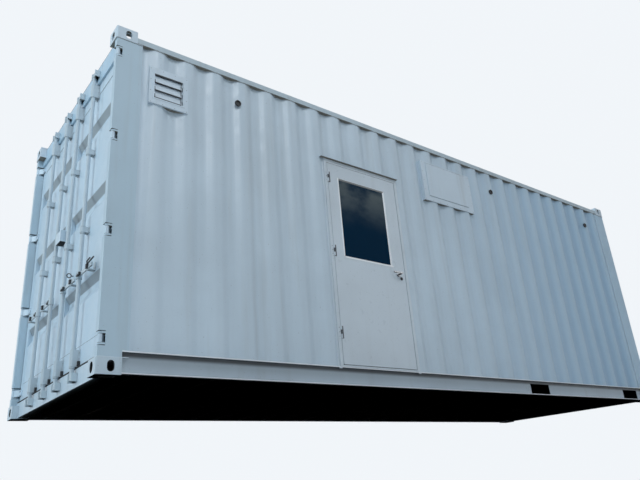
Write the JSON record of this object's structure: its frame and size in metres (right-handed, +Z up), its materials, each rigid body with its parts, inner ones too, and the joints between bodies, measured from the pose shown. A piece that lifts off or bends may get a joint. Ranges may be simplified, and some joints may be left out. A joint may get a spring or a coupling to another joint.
{
  "type": "shipping container with a personnel door",
  "caption": "High steel freight container with corrugated walls, two cargo doors with locking bars, a glazed personnel door, a louvre vent and a hatch cover.",
  "frame": {"origin": "centre of the bottom plane of the four bottom corner castings", "axes": "+Z up, +X along the length away from the cargo doors, -Y towards the side with the personnel door"},
  "size_m": [7.62, 2.494, 2.896],
  "materials": {
    "white_paint": "satin",
    "door_paint": "satin",
    "gear_paint": "satin",
    "underside_paint": "matt",
    "plywood": "matt",
    "seal_rubber": "matt",
    "glazing": "clear",
    "bright_steel": "satin",
    "personnel_paint": "satin",
    "dark_plastic": "matt"
  },
  "bodies": {
    "container": {"rear_bottom_castings": "white_paint", "front_bottom_castings": "white_paint", "rear_top_castings": "white_paint", "front_top_castings": "white_paint", "rear_posts": "white_paint", "front_posts": "white_paint", "right_bottom_rail": "white_paint", "left_bottom_rail": "white_paint", "top_side_rails": "white_paint", "door_sill": "white_paint", "door_header": "white_paint", "front_end_rails": "white_paint", "right_wall_behind_door": "white_paint", "right_wall_over_door": "white_paint", "right_wall_front_part": "white_paint", "left_wall": "white_paint", "front_wall": "white_paint", "roof_panel": "white_paint", "louvre_vent": "white_paint", "hatch_cover": "white_paint", "cross_members": "underside_paint", "fork_pockets": "underside_paint", "plywood_floor": "plywood", "cam_keepers": "gear_paint", "cargo_hinge_pins": "bright_steel", "personnel_door_frame": "personnel_paint", "head_flashing": "white_paint", "breather_vents": "dark_plastic"},
    "right_cargo_door": {"right_leaf_frame": "door_paint", "right_leaf_panel": "door_paint", "right_leaf_seal": "seal_rubber", "right_bar_brackets": "gear_paint"},
    "left_cargo_door": {"left_leaf_frame": "door_paint", "left_leaf_panel": "door_paint", "left_leaf_seal": "seal_rubber", "left_bar_brackets": "gear_paint", "lock_box": "door_paint"},
    "personnel_door": {"personnel_door_leaf": "personnel_paint", "personnel_door_trim": "personnel_paint", "personnel_door_glass": "glazing", "personnel_door_hinges": "bright_steel", "lever_roses": "bright_steel"},
    "door_lever": {"lever_handle": "bright_steel"},
    "locking_bar_1": {"locking_bar_1": "gear_paint"},
    "locking_bar_2": {"locking_bar_2": "gear_paint"},
    "locking_bar_3": {"locking_bar_3": "gear_paint"},
    "locking_bar_4": {"locking_bar_4": "gear_paint"}
  },
  "joints": [
    {"name": "right_cargo_hinge", "type": "hinge", "parent": "container", "child": "right_cargo_door", "pos_m": [-3.784, -1.193, 1.4], "axis": [0, 0, 1], "range_deg": [0, 260]},
    {"name": "left_cargo_hinge", "type": "hinge", "parent": "container", "child": "left_cargo_door", "pos_m": [-3.784, 1.193, 1.4], "axis": [0, 0, -1], "range_deg": [0, 260]},
    {"name": "bar_1_turn", "type": "hinge", "parent": "right_cargo_door", "child": "locking_bar_1", "pos_m": [-3.776, -0.589, 0.885], "axis": [0, 0, 1], "range_deg": [-110, 0]},
    {"name": "bar_2_turn", "type": "hinge", "parent": "right_cargo_door", "child": "locking_bar_2", "pos_m": [-3.776, -0.177, 0.885], "axis": [0, 0, 1], "range_deg": [-110, 0]},
    {"name": "bar_3_turn", "type": "hinge", "parent": "left_cargo_door", "child": "locking_bar_3", "pos_m": [-3.776, 0.177, 0.885], "axis": [0, 0, -1], "range_deg": [-110, 0]},
    {"name": "bar_4_turn", "type": "hinge", "parent": "left_cargo_door", "child": "locking_bar_4", "pos_m": [-3.776, 0.589, 0.885], "axis": [0, 0, -1], "range_deg": [-110, 0]},
    {"name": "personnel_door_hinge", "type": "hinge", "parent": "container", "child": "personnel_door", "pos_m": [-1.6625, -1.2265, 1.2], "axis": [0, 0, -1], "range_deg": [0, 150]},
    {"name": "lever_turn", "type": "hinge", "parent": "personnel_door", "child": "door_lever", "pos_m": [-0.842, -1.219, 1.139], "axis": [0, -1, 0], "range_deg": [0, 45], "stiffness_Nm_per_rad": 1.5, "springref_deg": -22.92}
  ]
}
